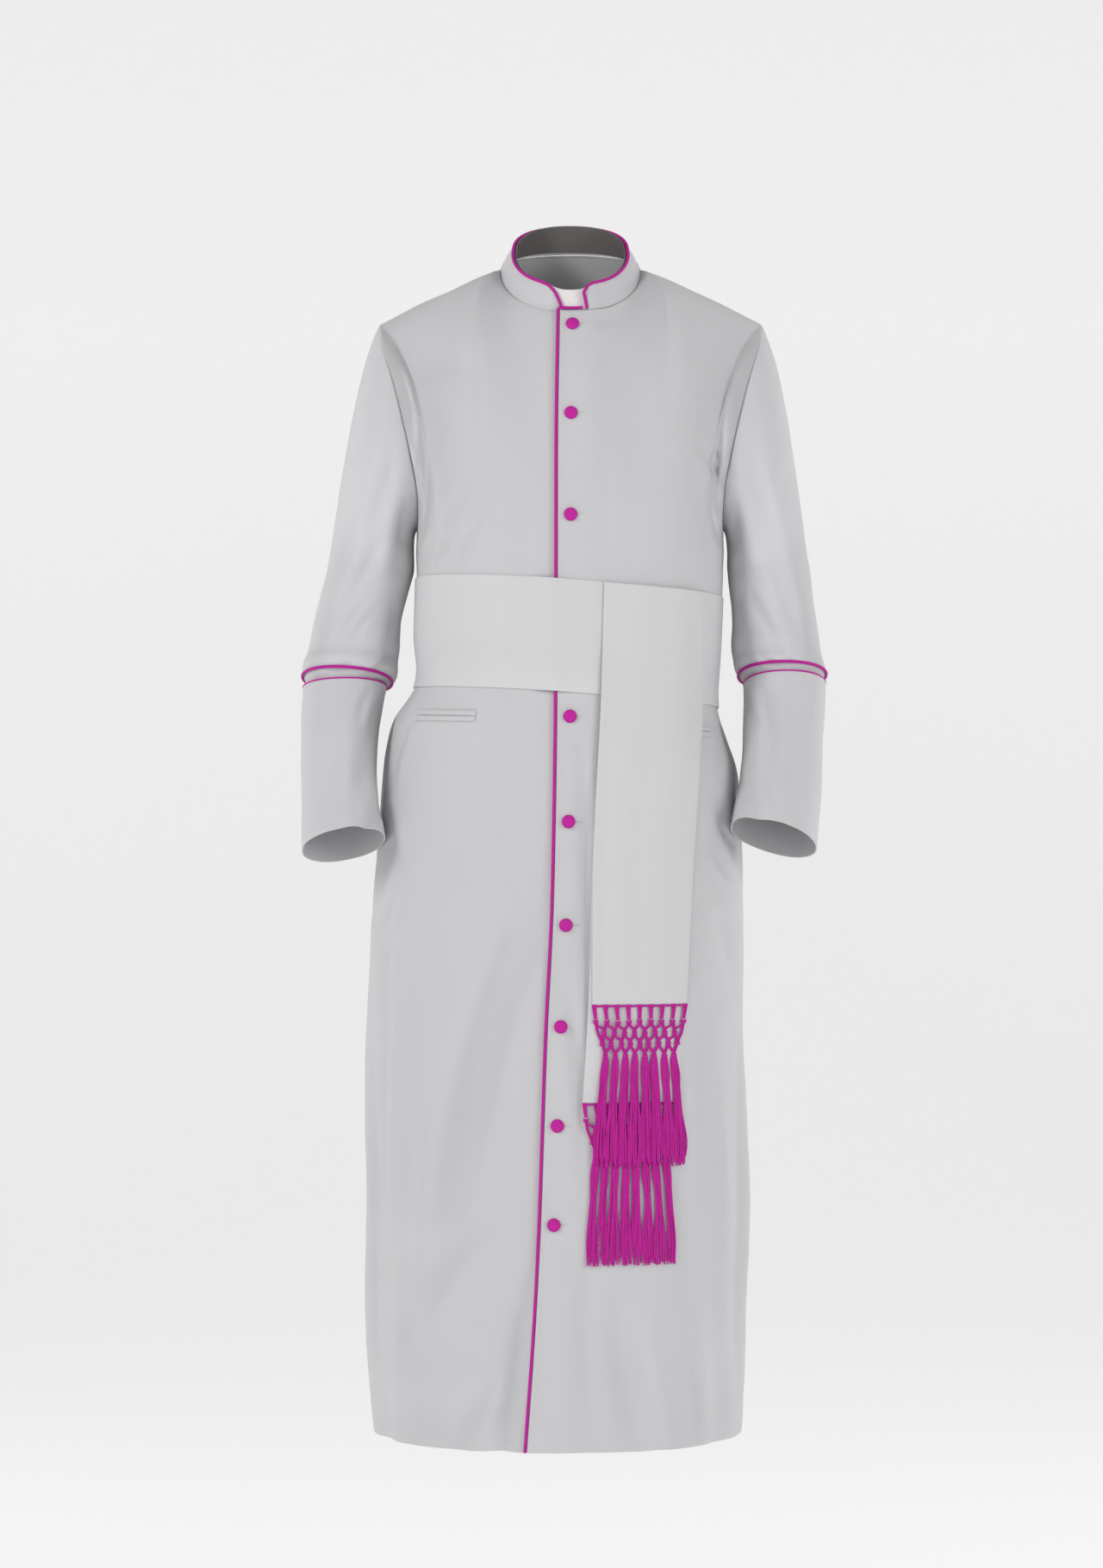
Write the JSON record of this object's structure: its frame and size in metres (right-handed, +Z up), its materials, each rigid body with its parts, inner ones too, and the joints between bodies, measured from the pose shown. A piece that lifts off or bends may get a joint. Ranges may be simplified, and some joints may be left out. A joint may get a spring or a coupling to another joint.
{
  "type": "clergy robe",
  "caption": "Long buttoned clergy robe with stand collar, deep over-cuffs and a waist sash ending in two fringed tails, hollow and hanging as worn.",
  "frame": {"origin": "middle of the neck opening at the height of the shoulders, where the robe is held", "axes": "+Z up, the front faces -Y, +X is the wearer's left, the side of the lapping front"},
  "size_m": [0.6425, 0.4646, 1.47],
  "materials": {
    "white_cloth": "matte woven suiting",
    "sash_cloth": "fine matte woven cloth with a slight sheen",
    "magenta_trim": "satin-covered trim",
    "fringe_cord": "soft twisted threads",
    "grey_band": "matte grey cloth",
    "white_tab": "smooth white"
  },
  "bodies": {
    "root": {"front_left": "white_cloth", "front_right": "white_cloth", "back": "white_cloth", "sleeve_left": "white_cloth", "sleeve_right": "white_cloth", "cuff_left": "white_cloth", "cuff_right": "white_cloth", "collar": "white_cloth", "collar_band": "grey_band", "collar_tab": "white_tab", "front_piping": "magenta_trim", "collar_piping": "magenta_trim", "sleeve_piping_left": "magenta_trim", "sleeve_piping_right": "magenta_trim", "cuff_piping_left": "magenta_trim", "cuff_piping_right": "magenta_trim", "button_1": "magenta_trim", "button_2": "magenta_trim", "button_3": "magenta_trim", "button_4": "magenta_trim", "button_5": "magenta_trim", "button_6": "magenta_trim", "button_7": "magenta_trim", "button_8": "magenta_trim", "button_9": "magenta_trim", "sash_band": "sash_cloth", "sash_tail_front": "sash_cloth", "sash_tail_rear": "sash_cloth", "fringe_front": "fringe_cord", "fringe_rear": "fringe_cord", "pocket_left_upper": "white_cloth", "pocket_left_lower": "white_cloth", "pocket_right_upper": "white_cloth", "pocket_right_lower": "white_cloth"}
  },
  "joints": []
}
